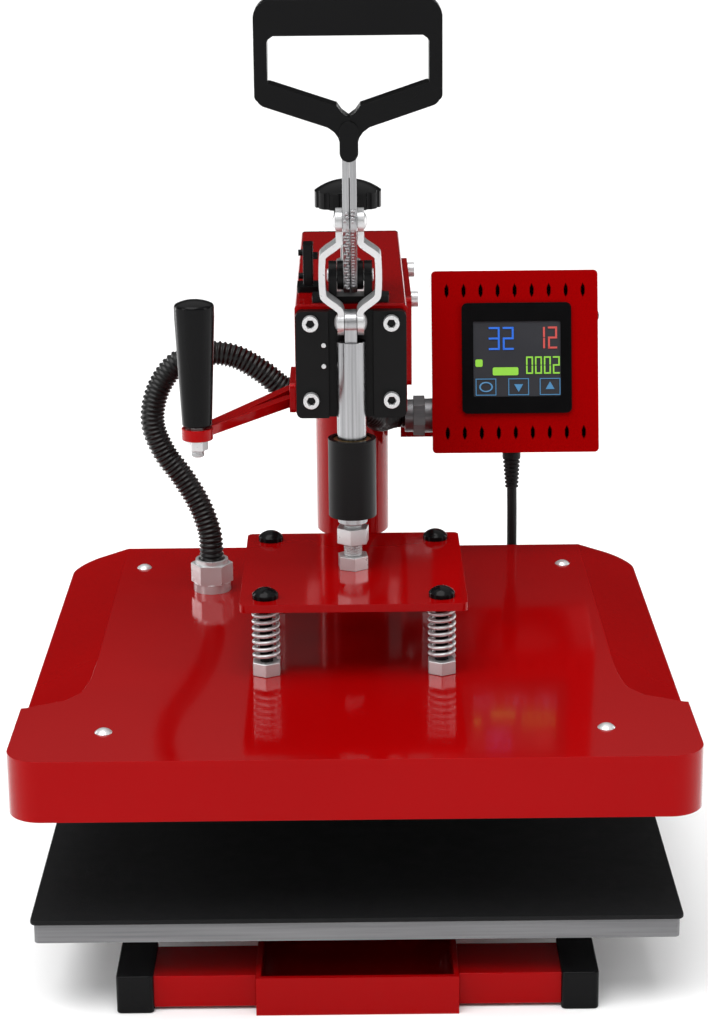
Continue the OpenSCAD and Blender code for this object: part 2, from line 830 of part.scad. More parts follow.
module cover_screws() color("silver") {
    at_four(146, 157) {
        translate([0, 0, cover_top_z]) dome(5.25, 2.6);
        translate([0, 0, 158]) cylinder(r = 2.6, h = cover_top_z - 158);
    }
}

module insulation() color("#d9cfb0") {
    w = platen_side / 2 - 10;
    difference() {
        block(-w, -w, heat_z0 + heat_t + 7, w, w, heat_z0 + heat_t + 13, 6);
        at_four(bolt_x, bolt_y) translate([0, 0, 140]) cylinder(r = head_bolt_r, h = 20);
    }
}

// Tubular element, laid to and fro on the platen
module heating_element() color("#8a8a88") {
    r = 3.5;
    z = heat_z0 + heat_t + r;
    runs = 6;
    pitch = 56;
    for (i = [0:runs - 1]) translate([(i - 2.5) * pitch, 0, z]) rotate([90, 0, 0])
        cylinder(r = r, h = 240, center = true);
    for (i = [0:runs - 2]) translate([(i - 2) * pitch, i % 2 == 0 ? 120 : -120, z])
        rotate(i % 2 == 0 ? 0 : 180) rotate_extrude(angle = 180) translate([pitch / 2, 0]) circle(r);
}

module heating_platen() color("#b9bbbd") {
    w = platen_side / 2;
    difference() {
        block(-w, -w, heat_z0, w, w, heat_z0 + heat_t, 3);
        at_four(bolt_x, bolt_y) translate([0, 0, heat_z0 + 8]) cylinder(r = head_bolt_r, h = 20);
    }
}

module head_gland() color("silver") {
    translate([-96, 108, cover_top_z]) difference() {
        union() {
            cylinder(r = 12.6, h = 6);
            translate([0, 0, 6]) hexagon(24.6, 13);
            translate([0, 0, 19]) cylinder(r = 11, h = 3);
            translate([0, 0, -8]) cylinder(r = 9, h = 8);
        }
        translate([0, 0, -9]) cylinder(r = 5, h = 32);
    }
}

// ---- placing ----

base_channel();
foot_tubes();
foot_end_caps();
platen_pedestal();
pedestal_bolts();
lower_platen();
silicone_pad();
column();
thrust_disc();
arm_beam();
swivel_sleeve();
sleeve_bushes();
arm_rear_cap();
guide_bracket();
guide_bush();
guide_screws();
fulcrum_bracket();
fulcrum_pin();
limit_switch();
knob_collar();
side_bracket();
side_bracket_bolts();
control_box_shell();
control_box_back();
display_bezel();
display_screen();
circuit_board();
power_relay();
box_gland();
cord_relief();
power_cord();
cord_coil();
power_plug();
swing_bracket();
grip_stud();
swing_grip();
hose();
power_switch();
pressure_knob();
pressure_screw();
lever_bars();
lever_hub();
handle_grip();
plunger_tube();
plunger_tongue();
adjusting_stud();
stud_nuts();
spring_plate();
pressure_springs();
link_straps();
link_bolts();
head_bolts();
bolt_caps();
spring_nuts();
head_cover();
cover_screws();
insulation();
heating_element();
heating_platen();
head_gland();
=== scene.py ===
"""Swing-away heat press: finished pieces, materials, mains lead, stage and camera."""

import json
import math

import bpy
from mathutils import Matrix, Vector


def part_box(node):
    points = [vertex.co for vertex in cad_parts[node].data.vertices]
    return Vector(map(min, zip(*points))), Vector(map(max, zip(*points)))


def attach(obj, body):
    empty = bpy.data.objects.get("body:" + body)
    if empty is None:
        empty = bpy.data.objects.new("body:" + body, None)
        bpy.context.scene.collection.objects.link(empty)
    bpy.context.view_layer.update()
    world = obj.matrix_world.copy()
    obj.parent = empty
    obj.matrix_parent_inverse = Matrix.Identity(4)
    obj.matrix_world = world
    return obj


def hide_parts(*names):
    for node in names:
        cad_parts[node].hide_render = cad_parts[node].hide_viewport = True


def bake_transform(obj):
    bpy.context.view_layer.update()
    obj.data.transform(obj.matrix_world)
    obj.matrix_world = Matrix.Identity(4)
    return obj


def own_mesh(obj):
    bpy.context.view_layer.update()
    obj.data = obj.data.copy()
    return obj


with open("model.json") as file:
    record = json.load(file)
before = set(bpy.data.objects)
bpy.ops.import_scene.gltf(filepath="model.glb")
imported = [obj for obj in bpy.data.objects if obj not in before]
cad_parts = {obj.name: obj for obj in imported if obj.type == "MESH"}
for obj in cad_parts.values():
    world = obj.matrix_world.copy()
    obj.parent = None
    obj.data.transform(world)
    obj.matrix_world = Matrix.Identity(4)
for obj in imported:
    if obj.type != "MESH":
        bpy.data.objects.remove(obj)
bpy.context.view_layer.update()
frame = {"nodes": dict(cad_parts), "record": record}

bl_info = {
    "name": "Heat press",
    "version": (1, 0, 0),
    "blender": (4, 5, 0),
    "location": "View3D > Sidebar > Heat press",
    "description": "Builds the finished pieces of a swing-away heat press round its frame",
    "category": "Object",
}

MM = 0.001
# Corners closer than this, in metres, are one corner
MERGE = 1e-6
NODES = frame["nodes"]
BODY_OF = {n: b for b, ns in frame["record"]["behaviour"]["bodies"].items() for n in ns}
SLOT_OF = {s["node"]: s["material_slot"] for s in frame["record"]["subparts"]}

# The control box leans back about the bottom edge of its front
BOX_TILT = math.radians(15)
BOX_EDGE = Vector((0, 185, 239)) * MM

CAMERA_PLACE = (0.0008, -1.5342, 0.7047)
# How far the camera looks down and how far it rolls, in degrees
CAMERA_DOWN = 16.46
CAMERA_ROLL = -0.593
SENSOR_WIDTH = 36

# Area lights: name, place, point they face, width and height in metres, watts
LIGHTS = [
    ("left", (-1.9, -1.0, 1.1), (0, 0, 0.2), (0.8, 1.6), 12),
    ("right", (2.0, -0.6, 1.1), (0, 0, 0.2), (0.6, 1.5), 10),
    ("front", (-0.5, -2.6, 1.9), (0, 0, 0.2), (1.4, 0.7), 5),
    ("left edge", (-1.3, 0.9, 0.45), (0, 0, 0.3), (0.16, 1.0), 5),
    ("right edge", (1.3, 0.9, 0.45), (0, 0, 0.3), (0.16, 1.0), 4),
]

# Route of the mains lead from its strain relief to the coil, in millimetres
LEAD_ROUTE = [
    (114, 214.2, 205.2), (114, 211.8, 196), (114, 210.2, 186), (114, 209.5, 170),
    (114, 209.3, 150), (114, 209.5, 125), (114, 210, 100), (115, 212, 80), (119, 217, 62),
    (127, 227, 47), (138, 243, 36), (151, 263, 26), (163, 286, 15), (171, 310, 7),
    (176, 334, 3.8), (178, 358, 3.5), (178, 380, 3.5),
]
COIL_RADIUS = 37
COIL_TURNS = 4.25
# Points of the lead on each turn of the coil
COIL_STEPS = 40
# Route of the tail from the top of the coil to the plug
TAIL_ROUTE = [
    (141, 417, 33.25), (130, 417, 32.8), (116, 417.5, 29), (100, 418, 22.5), (84, 418.5, 16),
    (68, 419, 12), (56, 419, 11),
]
# Route of the corrugated hose from the head's gland to the control box's gland
HOSE_ROUTE = [
    (-96, 108, 186.6), (-96, 108, 196), (-97.5, 110, 208), (-104, 114, 225), (-115, 118, 243),
    (-127, 120, 260), (-134, 121, 280), (-130, 122, 302), (-117, 122, 320), (-98, 122, 327),
    (-78, 121, 325), (-60, 120, 315), (-44, 121, 302), (-20, 126, 293), (0, 134, 286),
    (14, 150, 276), (17, 172, 268), (21, 192, 262), (29, 206, 260.6), (37.4, 209.4, 260.4),
]
# The seat in the head's gland that lets it rise past the end of the hose, in millimetres
SEAT_RADIUS = 8.95
SEAT_FLOOR = 182

# Radius over the pressure springs, in millimetres
SPRING_RADIUS = 8.75

# Lit figures: text, left edge, foot, width and height of one figure in the display's frame in
# millimetres, material and name
FIGURES = [
    ("32", 96.4, 72, 7.7, 16, "blue", "set_figures"),
    ("12", 129.4, 72.6, 6.4, 15.4, "red", "heat_figures"),
    ("0002", 122.4, 55, 4.9, 12.2, "green", "count_figures"),
]
# Lit strokes of a seven-stroke figure: a top, b upper right, c lower right, d bottom, e lower
# left, f upper left, g middle
STROKES = {"0": "abcdef", "1": "bc", "2": "abged", "3": "abgcd"}
# How thick the flat pieces on the display are, in millimetres
FOIL = 0.3

# Plates with holes in them keep their triangles, because a merged flat can't hold a hole
HOLED = [
    "control_box_shell", "base_channel", "spring_plate", "guide_bracket", "display_bezel",
    "control_box_back", "fulcrum_bracket",
]


# ---- sizes and colours a user would change ----


class HeatPressSizes(bpy.types.PropertyGroup):
    """Sizes of what is added to the frame."""

    lead_diameter: bpy.props.FloatProperty(
        name="Lead diameter", description="Diameter of the mains lead", default=0.007,
        min=0.005, max=0.009, unit="LENGTH")
    hose_diameter: bpy.props.FloatProperty(
        name="Hose diameter", description="Diameter over the hose's ridges", default=0.0165,
        min=0.012, max=0.018, unit="LENGTH")
    hose_pitch: bpy.props.FloatProperty(
        name="Hose pitch", description="Distance from ridge to ridge of the hose", default=0.0031,
        min=0.002, max=0.006, unit="LENGTH")
    spring_wire: bpy.props.FloatProperty(
        name="Spring wire", description="Diameter of the springs' wire", default=0.0025,
        min=0.0015, max=0.003, unit="LENGTH")
    spring_turns: bpy.props.FloatProperty(
        name="Spring turns", description="Turns of each spring", default=7.5, min=4, max=10)
    camera_lens: bpy.props.FloatProperty(
        name="Lens", description="Focal length of the camera", default=89.21, min=20, max=200)


class HeatPressColours(bpy.types.PropertyGroup):
    """Colours of the finishes."""

    red: bpy.props.FloatVectorProperty(
        name="Red", description="Powder coat of the frame and covers", subtype="COLOR", size=3,
        min=0, max=1, default=(0.27, 0.0006, 0.001))
    black: bpy.props.FloatVectorProperty(
        name="Black", description="Black ironwork and mouldings", subtype="COLOR", size=3,
        min=0, max=1, default=(0.0022, 0.0022, 0.0024))
    plating: bpy.props.FloatVectorProperty(
        name="Plating", description="Zinc plating of the fasteners", subtype="COLOR", size=3,
        min=0, max=1, default=(0.6, 0.605, 0.61))
    floor: bpy.props.FloatVectorProperty(
        name="Floor", description="Studio floor", subtype="COLOR", size=3,
        min=0, max=1, default=(0.93, 0.93, 0.93))


# ---- shader expressions ----


class Link:
    """A node's output that can be used in arithmetic."""

    def __init__(self, finish, socket):
        self.finish = finish
        self.socket = socket

    def _math(self, operation, first, second):
        return self.finish.node("ShaderNodeMath", {"operation": operation}, [first, second])

    def __add__(self, other):
        return self._math("ADD", self, other)

    def __mul__(self, other):
        return self._math("MULTIPLY", self, other)

    __radd__ = __add__
    __rmul__ = __mul__

    def above(self, limit):
        return self._math("GREATER_THAN", self, limit)

    def part(self, name):
        """Another output of the same node."""
        return Link(self.finish, self.socket.node.outputs[name])


class Finish:
    """A material whose nodes all come from one method."""

    def __init__(self, name):
        self.material = bpy.data.materials.new(name)
        self.material.use_nodes = True
        self.tree = self.material.node_tree
        self.tree.nodes.clear()

    def node(self, kind, settings=None, values=()):
        made = self.tree.nodes.new(kind)
        for key, value in (settings or {}).items():
            if key == "stops":
                for stop, (place, colour) in zip(made.color_ramp.elements, value):
                    stop.position = place
                    stop.color = colour
            else:
                setattr(made, key, value)
        pairs = values.items() if isinstance(values, dict) else enumerate(values)
        for place, value in pairs:
            if isinstance(value, Link):
                self.tree.links.new(value.socket, made.inputs[place])
            elif value is not None:
                made.inputs[place].default_value = value
        return Link(self, made.outputs[0]) if made.outputs else None

    def place(self, scale=(1, 1, 1)):
        """Object coordinates, stretched by scale."""
        where = self.node("ShaderNodeTexCoord").part("Object")
        return self.node("ShaderNodeMapping", {}, {"Vector": where, "Scale": scale})

    def noise(self, scale, detail=2, stretch=(1, 1, 1)):
        return self.node("ShaderNodeTexNoise", {}, {
            "Vector": self.place(stretch), "Scale": scale, "Detail": detail})

    def mix(self, factor, first, second):
        made = self.tree.nodes.new("ShaderNodeMix")
        made.data_type = "RGBA"
        for place, value in ((0, factor), (6, first), (7, second)):
            if isinstance(value, Link):
                self.tree.links.new(value.socket, made.inputs[place])
            else:
                made.inputs[place].default_value = value
        return Link(self, made.outputs[2])

    def bump(self, height, strength, distance):
        return self.node("ShaderNodeBump", {}, {
            "Height": height, "Strength": strength, "Distance": distance})

    def surface(self, **values):
        """The main shader, joined to the output; returns the material."""
        named = {key.replace("_", " "): value for key, value in values.items()}
        shader = self.node("ShaderNodeBsdfPrincipled", {}, named)
        self.node("ShaderNodeOutputMaterial", {}, [shader])
        return self.material


def rgba(colour, k=1.0):
    """A colour made k times as bright, with full cover."""
    return (*(min(part * k, 1) for part in colour), 1)


# ---- materials ----


def red_powder_coat(colour):
    """Glossy red powder coat under clear lacquer, with a faint orange peel."""
    m = Finish("red powder coat")
    cloud = m.noise(6, 3)
    peel = m.noise(420, 1)
    fine = m.noise(60, 2)
    return m.surface(
        Base_Color=m.mix(cloud, rgba(colour, 0.88), rgba(colour, 1.1)),
        Roughness=0.07 + 0.05 * fine, Specular_IOR_Level=0.45, Specular_Tint=(1, 0.03, 0.04, 1),
        Coat_Weight=0.1, Coat_Roughness=0.03, Normal=m.bump(peel, 0.02, 0.0001))


def black_powder_coat(colour):
    m = Finish("satin black powder coat")
    grain = m.noise(1500, 2)
    return m.surface(
        Base_Color=m.mix(m.noise(9, 2), rgba(colour, 0.8), rgba(colour, 1.5)),
        Roughness=0.34 + 0.12 * m.noise(40, 2), Specular_IOR_Level=0.14,
        Normal=m.bump(grain, 0.1, 0.0003))


def black_moulding(colour):
    """Moulded plastic with a fine grain and a soft shine."""
    m = Finish("moulded black plastic")
    grain = m.noise(2200, 2)
    return m.surface(
        Base_Color=m.mix(m.noise(14, 2), rgba(colour, 0.9), rgba(colour, 1.7)),
        Roughness=0.14 + 0.12 * m.noise(70, 3), Specular_IOR_Level=0.1,
        Normal=m.bump(grain, 0.05, 0.0002))


def zinc_plating(colour):
    """Bright plating with small handling marks."""
    m = Finish("bright zinc plating")
    marks = m.noise(160, 4)
    cloud = m.noise(30, 3)
    return m.surface(
        Base_Color=m.mix(cloud, rgba(colour, 0.78), rgba(colour, 1.12)), Metallic=0.6,
        Roughness=0.22 + 0.16 * marks, Normal=m.bump(m.noise(300, 2), 0.04, 0.0002))


def drawn_tube():
    """Polished tube with fine lines along its length."""
    m = Finish("polished tube")
    lines = m.noise(900, 2, (1, 1, 0.01))
    return m.surface(
        Base_Color=m.mix(lines, (0.12, 0.12, 0.125, 1), (0.5, 0.5, 0.51, 1)), Metallic=1.0,
        Roughness=0.16 + 0.12 * lines, Normal=m.bump(lines, 0.05, 0.0002))


def drawn_bar():
    """Plated flat bar with drawing lines."""
    m = Finish("drawn steel bar")
    lines = m.noise(700, 3, (1, 1, 0.02))
    return m.surface(
        Base_Color=m.mix(lines, (0.2, 0.2, 0.205, 1), (0.5, 0.5, 0.51, 1)), Metallic=1.0,
        Roughness=0.24 + 0.2 * lines, Normal=m.bump(lines, 0.15, 0.0003))


def milled_aluminium():
    m = Finish("milled aluminium")
    lines = m.noise(600, 2, (0.02, 1, 1))
    return m.surface(
        Base_Color=m.mix(lines, (0.09, 0.09, 0.095, 1), (0.22, 0.22, 0.225, 1)), Metallic=0.3,
        Roughness=0.4 + 0.16 * lines, Normal=m.bump(lines, 0.1, 0.0003))


def silicone_foam():
    """Matt silicone sponge with an open, dusty grain."""
    m = Finish("silicone sponge")
    grain = m.noise(1300, 3)
    return m.surface(
        Base_Color=m.mix(m.noise(5, 3), (0.0025, 0.0025, 0.0028, 1), (0.006, 0.006, 0.0065, 1)),
        Roughness=0.62 + 0.2 * m.noise(90, 3), Specular_IOR_Level=0.18,
        Normal=m.bump(grain, 0.35, 0.0004))


def turned_bronze():
    m = Finish("turned bronze")
    lines = m.noise(800, 2, (0.02, 0.02, 1))
    return m.surface(
        Base_Color=m.mix(lines, (0.5, 0.3, 0.1, 1), (0.78, 0.55, 0.25, 1)), Metallic=1.0,
        Roughness=0.25 + 0.15 * lines, Normal=m.bump(lines, 0.1, 0.0002))


def hose_rubber():
    """Black conduit with shine on its ridges and patches of dust."""
    m = Finish("black conduit")
    dust = m.noise(260, 3)
    return m.surface(
        Base_Color=m.mix(dust, (0.002, 0.002, 0.002, 1), (0.006, 0.006, 0.006, 1)),
        Roughness=0.2 + 0.2 * dust, Specular_IOR_Level=0.22,
        Normal=m.bump(m.noise(1500, 1), 0.08, 0.0002))


def lead_rubber():
    m = Finish("lead sheath")
    dust = m.noise(120, 3)
    return m.surface(
        Base_Color=m.mix(dust, (0.003, 0.003, 0.003, 1), (0.008, 0.008, 0.008, 1)),
        Roughness=0.38 + 0.16 * dust, Specular_IOR_Level=0.18,
        Normal=m.bump(m.noise(1200, 2), 0.1, 0.0002))


def grey_gland():
    m = Finish("grey plated gland")
    lines = m.noise(300, 2, (0.1, 1, 1))
    return m.surface(
        Base_Color=m.mix(lines, (0.08, 0.082, 0.085, 1), (0.2, 0.2, 0.205, 1)), Metallic=0.85,
        Roughness=0.3 + 0.15 * lines, Normal=m.bump(lines, 0.08, 0.0002))


def dark_glass():
    """The display's glossy pane over its grey panel."""
    m = Finish("display pane")
    cloud = m.noise(25, 2)
    return m.surface(
        Base_Color=m.mix(cloud, (0.030, 0.032, 0.037, 1), (0.042, 0.044, 0.049, 1)),
        Roughness=0.16 + 0.05 * cloud, Specular_IOR_Level=0.12,
        Coat_Weight=0.1, Coat_Roughness=0.03,
        Normal=m.bump(m.noise(700, 1), 0.02, 0.0001))


def lit_segment(name, colour, strength):
    """Light of one colour, a little uneven as behind a diffuser."""
    m = Finish(name)
    cloud = m.noise(220, 2)
    return m.surface(
        Base_Color=rgba(colour, 0.5), Roughness=0.4,
        Emission_Color=m.mix(cloud, rgba(colour, 0.85), rgba(colour, 1.0)),
        Emission_Strength=strength)


def circuit_lacquer():
    m = Finish("green board lacquer")
    tracks = m.noise(140, 1, (1, 4, 1)).above(0.52)
    return m.surface(
        Base_Color=m.mix(tracks, (0.01, 0.1, 0.03, 1), (0.03, 0.2, 0.07, 1)),
        Roughness=0.3 + 0.1 * tracks, Normal=m.bump(tracks, 0.1, 0.0002))


def mineral_felt():
    m = Finish("mineral felt")
    fibre = m.noise(500, 4, (1, 3, 1))
    return m.surface(
        Base_Color=m.mix(fibre, (0.5, 0.43, 0.28, 1), (0.78, 0.7, 0.5, 1)),
        Roughness=0.9, Normal=m.bump(fibre, 0.6, 0.0008))


def studio_floor(colour):
    m = Finish("studio floor")
    cloud = m.noise(2, 2)
    return m.surface(
        Base_Color=m.mix(cloud, rgba(colour, 0.99), rgba(colour, 1.01)), Roughness=0.6,
        Specular_IOR_Level=0.2)


FINISHES = {}


def finishes():
    """Makes each material once."""
    if not FINISHES:
        colours = bpy.context.scene.heat_press_colours
        FINISHES.update({
            "red_paint": red_powder_coat(colours.red),
            "black_paint": black_powder_coat(colours.black),
            "black_plastic": black_moulding(colours.black),
            "zinc": zinc_plating(colours.plating),
            "chrome": drawn_tube(),
            "steel": drawn_bar(),
            "aluminium": milled_aluminium(),
            "silicone": silicone_foam(),
            "brass": turned_bronze(),
            "display_glass": dark_glass(),
            "circuit": circuit_lacquer(),
            "insulation": mineral_felt(),
            "cable_black": lead_rubber(),
            "gland_grey": grey_gland(),
            "hose": hose_rubber(),
            "blue": lit_segment("blue segments", (0.015, 0.13, 0.62), 0.75),
            "red": lit_segment("red segments", (0.55, 0.07, 0.06), 0.6),
            "green": lit_segment("green segments", (0.26, 0.62, 0.05), 0.6),
            "pale_blue": lit_segment("pale blue outlines", (0.06, 0.22, 0.42), 0.6),
        })
    return FINISHES


# ---- modelling helpers ----


def only(*objects):
    """Selects these objects and nothing else; the first is active."""
    bpy.ops.object.select_all(action="DESELECT")
    for obj in objects:
        obj.select_set(True)
    bpy.context.view_layer.objects.active = objects[0]


def apply_place(obj):
    only(obj)
    bpy.ops.object.transform_apply(location=True, rotation=True, scale=True)


def primitive(kind, turn=(0, 0, 0), stretch=(1, 1, 1), **settings):
    """A primitive solid, turned and stretched, with its place left in its mesh."""
    bpy.ops.object.select_all(action="DESELECT")
    getattr(bpy.ops.mesh, f"primitive_{kind}_add")(**settings)
    made = bpy.context.object
    made.rotation_euler = turn
    made.scale = stretch
    apply_place(made)
    return made


def modify(obj, kind, **settings):
    """Adds a modifier and applies it."""
    made = obj.modifiers.new(kind.lower(), kind)
    for key, value in settings.items():
        setattr(made, key, value)
    only(obj)
    bpy.ops.object.modifier_apply(modifier=made.name)


def edit(obj):
    only(obj)
    bpy.ops.object.mode_set(mode="EDIT")
    bpy.ops.mesh.select_all(action="SELECT")


def leave_edit():
    bpy.ops.object.mode_set(mode="OBJECT")


def outward(obj):
    edit(obj)
    bpy.ops.mesh.remove_doubles(threshold=MERGE)
    bpy.ops.mesh.normals_make_consistent(inside=False)
    leave_edit()


def smooth(obj, degrees=35):
    only(obj)
    bpy.ops.object.shade_smooth_by_angle(angle=math.radians(degrees))


def join(objects, name):
    only(*objects)
    bpy.ops.object.join()
    made = bpy.context.view_layer.objects.active
    made.name = name
    made.data.name = name
    return made


def finished(obj, name, body, slot, material=None, replaces=()):
    """Names a piece, gives it its material and hangs it on its body."""
    obj.name = name
    obj.data.name = name
    obj.data.materials.clear()
    obj.data.materials.append(finishes()[material or slot])
    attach(obj, body)
    if replaces:
        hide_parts(*replaces)
    return obj


def copy_of(node):
    """The node's mesh as a new object, with its corners joined and flats merged."""
    obj = bpy.data.objects.new(node + "_copy", NODES[node].data.copy())
    bpy.context.scene.collection.objects.link(obj)
    edit(obj)
    bpy.ops.mesh.customdata_custom_splitnormals_clear()
    bpy.ops.mesh.remove_doubles(threshold=2 * MERGE)
    if node not in HOLED:
        bpy.ops.mesh.dissolve_limited(angle_limit=math.radians(0.2))
    leave_edit()
    return obj


def rounded(node, width, segments, angle=32, cutter=None):
    """A finished piece of the node's shape, cut where asked, with its edges rounded."""
    obj = copy_of(node)
    if cutter:
        modify(obj, "BOOLEAN", operation="DIFFERENCE", solver="EXACT", object=cutter)
        bpy.data.objects.remove(cutter)
    modify(obj, "BEVEL", width=width, segments=segments, limit_method="ANGLE",
           angle_limit=math.radians(angle), use_clamp_overlap=True, miter_outer="MITER_ARC")
    smooth(obj)
    modify(obj, "WEIGHTED_NORMAL", keep_sharp=True)
    return finished(obj, node + "_finished", BODY_OF[node], SLOT_OF[node], replaces=[node])


def round_all(edges, segments):
    """Finishes several nodes, each with its own width of rounding in millimetres."""
    for node, width in edges.items():
        rounded(node, width * MM, segments)


def kept(*nodes):
    """CAD nodes that stay as they are and only get their material."""
    for node in nodes:
        NODES[node].data.materials.clear()
        NODES[node].data.materials.append(finishes()[SLOT_OF[node]])


def smooth_route(route, steps):
    """Points along the smooth curve through a route given in millimetres."""
    p = [Vector(q) * MM for q in route]
    made = []
    for i in range(len(p) - 1):
        a, b, c, d = p[max(i - 1, 0)], p[i], p[i + 1], p[min(i + 2, len(p) - 1)]
        for s in range(steps):
            t = s / steps
            made.append(0.5 * (2 * b + (c - a) * t + (2 * a - 5 * b + 4 * c - d) * t * t
                               + (3 * b - a - 3 * c + d) * t ** 3))
    return made + [p[-1]]


def curve_through(points, name):
    """A curve object of one open spline through the points."""
    data = bpy.data.curves.new(name, "CURVE")
    data.dimensions = "3D"
    spline = data.splines.new("POLY")
    spline.points.add(len(points) - 1)
    for spot, p in zip(spline.points, points):
        spot.co = (*p, 1)
    obj = bpy.data.objects.new(name, data)
    bpy.context.scene.collection.objects.link(obj)
    return obj


def path_length(points):
    return sum((b - a).length for a, b in zip(points, points[1:]))


def revolved(profile, steps, name, screw=0.0, turns=1.0):
    """A profile of (radius, height) points, turned about Z by a screw modifier."""
    mesh = bpy.data.meshes.new(name)
    edges = [(i, i + 1) for i in range(len(profile) - 1)]
    mesh.from_pydata([(r, 0, z) for r, z in profile], edges, [])
    obj = bpy.data.objects.new(name, mesh)
    bpy.context.scene.collection.objects.link(obj)
    modify(obj, "SCREW", axis="Z", angle=2 * math.pi * turns, screw_offset=screw, steps=steps,
           render_steps=steps, use_merge_vertices=True, merge_threshold=MERGE)
    return obj


def turned(profile, steps, name):
    """A closed turning whose profile is given in millimetres."""
    obj = revolved([(r * MM, z * MM) for r, z in profile], steps, name)
    outward(obj)
    return obj


def close_ends(obj):
    """Fills the open ends and turns the faces outwards."""
    edit(obj)
    bpy.ops.mesh.select_all(action="DESELECT")
    bpy.ops.mesh.select_mode(type="EDGE")
    bpy.ops.mesh.select_non_manifold(extend=False, use_wire=False, use_multi_face=False,
                                     use_non_contiguous=False, use_verts=False)
    bpy.ops.mesh.edge_face_add()
    leave_edit()
    outward(obj)


def put(obj, matrix):
    """Moves a piece and leaves its place in its mesh."""
    obj.matrix_world = matrix
    bpy.context.view_layer.update()
    apply_place(obj)
    return obj


def in_box(x, depth, height):
    """A place in the control box's own frame, in millimetres, as a point of the press."""
    turned = Matrix.Rotation(-BOX_TILT, 4, "X") @ Vector((x * MM, depth * MM, height * MM))
    return turned + BOX_EDGE


def box_matrix(x, depth, height):
    return Matrix.Translation(in_box(x, depth, height)) @ Matrix.Rotation(-BOX_TILT, 4, "X")


def slab(x0, x1, z0, z1, thick, chamfer=0.0):
    """A thin plate standing in the X-Z plane, in millimetres, with its edges broken."""
    obj = primitive("cube", stretch=(x1 - x0, thick, z1 - z0), size=MM,
                    location=((x0 + x1) / 2 * MM, 0, (z0 + z1) / 2 * MM))
    if chamfer:
        modify(obj, "BEVEL", width=chamfer * MM, segments=2)
    return obj


# ---- operators, one for each piece or group of like pieces ----


class BuildStage(bpy.types.Operator):
    """Adds the camera, the lights and the floor"""

    bl_idname = "heat_press.stage"
    bl_label = "Stage"

    def execute(self, context):
        scene = context.scene
        bpy.ops.object.select_all(action="DESELECT")
        bpy.ops.object.camera_add(
            location=CAMERA_PLACE,
            rotation=(Matrix.Rotation(math.radians(90 - CAMERA_DOWN), 3, "X")
                      @ Matrix.Rotation(math.radians(CAMERA_ROLL), 3, "Z")).to_euler())
        camera = context.object
        camera.data.lens = scene.heat_press_sizes.camera_lens
        camera.data.sensor_width = SENSOR_WIDTH
        camera.data.clip_end = 50
        scene.camera = camera
        floor = primitive("plane", size=60)
        floor.name = "studio_floor"
        floor.data.materials.append(studio_floor(scene.heat_press_colours.floor))
        for name, place, target, size, power in LIGHTS:
            light = bpy.data.lights.new(name, "AREA")
            light.shape = "RECTANGLE"
            light.size, light.size_y = size
            light.energy = power
            obj = bpy.data.objects.new(name, light)
            obj.location = place
            facing = Vector(target) - Vector(place)
            obj.rotation_euler = facing.to_track_quat("-Z", "Y").to_euler()
            scene.collection.objects.link(obj)
        # A wide overhead softbox, far off, so that the floor is evenly lit
        overhead = bpy.data.lights.new("overhead", "SUN")
        overhead.energy = 2.5
        overhead.angle = math.radians(50)
        obj = bpy.data.objects.new("overhead", overhead)
        obj.rotation_euler = (math.radians(16), math.radians(-10), 0)
        scene.collection.objects.link(obj)
        scene.world = self.room()
        scene.view_settings.view_transform = "Standard"
        scene.view_settings.look = "None"
        return {"FINISHED"}

    @staticmethod
    def room():
        """A room with pale walls, a dim curtain behind the press and a pale ceiling."""
        world = bpy.data.worlds.new("room")
        world.use_nodes = True
        tree = world.node_tree
        tree.nodes.clear()
        where = tree.nodes.new("ShaderNodeTexCoord")
        split = tree.nodes.new("ShaderNodeSeparateXYZ")
        tree.links.new(where.outputs["Generated"], split.inputs[0])

        def ramp(axis, first, middle, last):
            """A grey that changes along one axis of the room."""
            made = tree.nodes.new("ShaderNodeValToRGB")
            stops = made.color_ramp.elements
            stops[0].position, stops[-1].position = first[0], last[0]
            for place, shade in middle:
                stops.new(place).color = (shade, shade, shade, 1)
            for stop, (place, shade) in ((stops[0], first), (stops[-1], last)):
                stop.color = (shade, shade, shade, 1)
            tree.links.new(split.outputs[axis], made.inputs[0])
            return made.outputs[0]

        walls = ramp("Z", (0, 1), ((0.14, 1), (0.18, 0.02), (0.3, 0.02)), (0.85, 0.9))
        curtain = ramp("Z", (0.3, 0.02), (), (0.85, 0.9))
        mix = tree.nodes.new("ShaderNodeMixRGB")
        back = tree.nodes.new("ShaderNodeBackground")
        out = tree.nodes.new("ShaderNodeOutputWorld")
        tree.links.new(ramp("Y", (0.6, 0), (), (0.8, 1)), mix.inputs[0])
        tree.links.new(walls, mix.inputs[1])
        tree.links.new(curtain, mix.inputs[2])
        tree.links.new(mix.outputs[0], back.inputs[0])
        tree.links.new(back.outputs[0], out.inputs[0])
        return world


